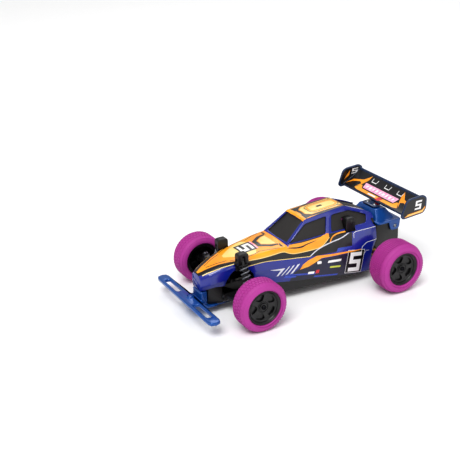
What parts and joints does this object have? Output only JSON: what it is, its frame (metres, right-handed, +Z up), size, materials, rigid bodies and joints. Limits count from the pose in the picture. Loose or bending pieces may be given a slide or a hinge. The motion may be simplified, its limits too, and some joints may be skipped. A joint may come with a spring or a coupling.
{
  "type": "remote control car",
  "caption": "Small off-road racing buggy with a hollow shell body, open sprung front wheels, ribbed tyres, a looped front bumper and a tall rear wing.",
  "frame": {"origin": "on the floor under the middle of the car's overall box", "axes": "+Z up, -Y the way the car drives, +X the car's left side"},
  "size_m": [0.1764, 0.2802, 0.099],
  "materials": {
    "tyre": "soft moulded rubber, matt, dyed magenta",
    "rim": "moulded black nylon, satin",
    "body_shell": null,
    "window": "matt charcoal moulding behind the windows",
    "blue_moulding": "glossy metallic-blue moulding",
    "wing": "blue-rimmed moulding with a dark printed face",
    "chassis": "black ABS with a fine moulded grain",
    "suspension": "black glass-filled nylon, satin",
    "spring": "drawn spring wire, grey",
    "steel": "zinc-plated steel",
    "gear": "natural nylon",
    "brass": "turned brass",
    "board": "green solder-masked circuit board",
    "cell": "plain cell wrap"
  },
  "bodies": {
    "chassis": {"chassis_tub": "chassis", "body_shell": "body_shell", "window_insert": "window", "front_bumper": "blue_moulding", "shock_tower": "chassis", "steering_box": "chassis", "battery_box": "chassis", "receiver_board": "board", "gearbox_lower": "chassis", "gearbox_upper": "chassis", "wing_mount": "blue_moulding", "rear_wing": "wing", "battery_cell_1": "cell", "battery_cell_2": "cell", "battery_cell_3": "cell", "battery_cell_4": "cell", "drive_motor": "steel", "compound_pin": "steel", "arm_pin_left": "steel", "arm_pin_right": "steel", "axle_bushing_left": "brass", "axle_bushing_right": "brass", "rear_cap_left": "chassis", "rear_cap_right": "chassis", "bumper_screw_left": "steel", "bumper_screw_right": "steel"},
    "arm_left": {"front_arm_left": "suspension", "kingpin_left": "steel"},
    "knuckle_left": {"knuckle_left": "suspension", "front_wheel_screw_left": "steel"},
    "front_wheel_left": {"front_rim_left": "rim", "front_tyre_left": "tyre"},
    "shock_body_left": {"shock_body_left": "suspension", "shock_spring_left": "spring"},
    "shock_rod_left": {"shock_rod_left": "steel"},
    "arm_right": {"front_arm_right": "suspension", "kingpin_right": "steel"},
    "knuckle_right": {"knuckle_right": "suspension", "front_wheel_screw_right": "steel"},
    "front_wheel_right": {"front_rim_right": "rim", "front_tyre_right": "tyre"},
    "shock_body_right": {"shock_body_right": "suspension", "shock_spring_right": "spring"},
    "shock_rod_right": {"shock_rod_right": "steel"},
    "tie_rod": {"tie_rod": "suspension"},
    "steering_horn": {"steering_horn": "gear"},
    "trim_lever": {"trim_lever": "chassis"},
    "power_switch": {"power_switch": "chassis"},
    "battery_door": {"battery_door": "chassis"},
    "rear_axle": {"rear_axle": "steel", "axle_gear": "gear", "rear_rim_left": "rim", "rear_rim_right": "rim", "rear_tyre_left": "tyre", "rear_tyre_right": "tyre", "rear_wheel_screw_left": "steel", "rear_wheel_screw_right": "steel"},
    "compound_gear": {"compound_gear": "gear"},
    "motor_pinion": {"motor_pinion": "brass"}
  },
  "joints": [
    {"name": "arm_left", "type": "hinge", "parent": "chassis", "child": "arm_left", "pos_m": [0.0156, -0.083, 0.017], "axis": [0, -1, 0], "range_deg": [0, 8], "stiffness_Nm_per_rad": 0.6, "springref_deg": -14.32},
    {"name": "arm_right", "type": "hinge", "parent": "chassis", "child": "arm_right", "pos_m": [-0.0156, -0.083, 0.017], "axis": [0, 1, 0], "range_deg": [0, 8], "stiffness_Nm_per_rad": 0.6, "springref_deg": -14.32},
    {"name": "steer_left", "type": "hinge", "parent": "arm_left", "child": "knuckle_left", "pos_m": [0.05, -0.083, 0.028], "axis": [0, 0, 1], "range_deg": [-22, 22]},
    {"name": "steer_right", "type": "hinge", "parent": "arm_right", "child": "knuckle_right", "pos_m": [-0.05, -0.083, 0.028], "axis": [0, 0, 1], "range_deg": [-22, 22]},
    {"name": "front_wheel_left", "type": "hinge", "parent": "knuckle_left", "child": "front_wheel_left", "pos_m": [0.069, -0.083, 0.028], "axis": [1, 0, 0], "continuous": true},
    {"name": "front_wheel_right", "type": "hinge", "parent": "knuckle_right", "child": "front_wheel_right", "pos_m": [-0.069, -0.083, 0.028], "axis": [1, 0, 0], "continuous": true},
    {"name": "shock_pivot_left", "type": "hinge", "parent": "chassis", "child": "shock_body_left", "pos_m": [0.0225, -0.077, 0.06], "axis": [0, -1, 0], "range_deg": [0, 0.9]},
    {"name": "shock_slide_left", "type": "slide", "parent": "shock_body_left", "child": "shock_rod_left", "axis": [-0.4356, 0, 0.9002], "range_m": [0, 0.0036], "deforming": ["shock_spring_left"]},
    {"name": "shock_pivot_right", "type": "hinge", "parent": "chassis", "child": "shock_body_right", "pos_m": [-0.0225, -0.077, 0.06], "axis": [0, 1, 0], "range_deg": [0, 0.9]},
    {"name": "shock_slide_right", "type": "slide", "parent": "shock_body_right", "child": "shock_rod_right", "axis": [0.4356, 0, 0.9002], "range_m": [0, 0.0036], "deforming": ["shock_spring_right"]},
    {"name": "tie_rod_slide", "type": "slide", "parent": "chassis", "child": "tie_rod", "axis": [1, 0, 0], "range_m": [-0.005, 0.005]},
    {"name": "steering_horn", "type": "hinge", "parent": "chassis", "child": "steering_horn", "pos_m": [0, -0.057, 0.023], "axis": [0, 0, 1], "range_deg": [-22.5, 22.5]},
    {"name": "rear_axle_spin", "type": "hinge", "parent": "chassis", "child": "rear_axle", "pos_m": [0, 0.091, 0.029], "axis": [1, 0, 0], "continuous": true},
    {"name": "compound_spin", "type": "hinge", "parent": "chassis", "child": "compound_gear", "pos_m": [0, 0.10402, 0.03645], "axis": [1, 0, 0], "continuous": true},
    {"name": "pinion_spin", "type": "hinge", "parent": "chassis", "child": "motor_pinion", "pos_m": [0, 0.11651, 0.04361], "axis": [1, 0, 0], "continuous": true},
    {"name": "trim_turn", "type": "hinge", "parent": "chassis", "child": "trim_lever", "pos_m": [0, -0.057, 0.009], "axis": [0, 0, 1], "range_deg": [-15, 15]},
    {"name": "switch_slide", "type": "slide", "parent": "chassis", "child": "power_switch", "axis": [0, 1, 0], "range_m": [0, 0.004]},
    {"name": "battery_door_hinge", "type": "hinge", "parent": "chassis", "child": "battery_door", "pos_m": [0, 0.0493, 0.0109], "axis": [1, 0, 0], "range_deg": [0, 8]}
  ],
  "couplings": [
    {"joint": "steer_right", "follows": "steer_left", "ratio": 1},
    {"joint": "tie_rod_slide", "follows": "steer_left", "m_per_rad": -0.0128},
    {"joint": "steering_horn", "follows": "steer_left", "ratio": -1},
    {"joint": "compound_spin", "follows": "rear_axle_spin", "ratio": -3.1667},
    {"joint": "pinion_spin", "follows": "rear_axle_spin", "ratio": 12.033},
    {"joint": "shock_pivot_left", "follows": "arm_left", "ratio": 0.1025},
    {"joint": "shock_slide_left", "follows": "arm_left", "m_per_rad": 0.0252},
    {"joint": "shock_pivot_right", "follows": "arm_right", "ratio": 0.1025},
    {"joint": "shock_slide_right", "follows": "arm_right", "m_per_rad": 0.0252}
  ]
}
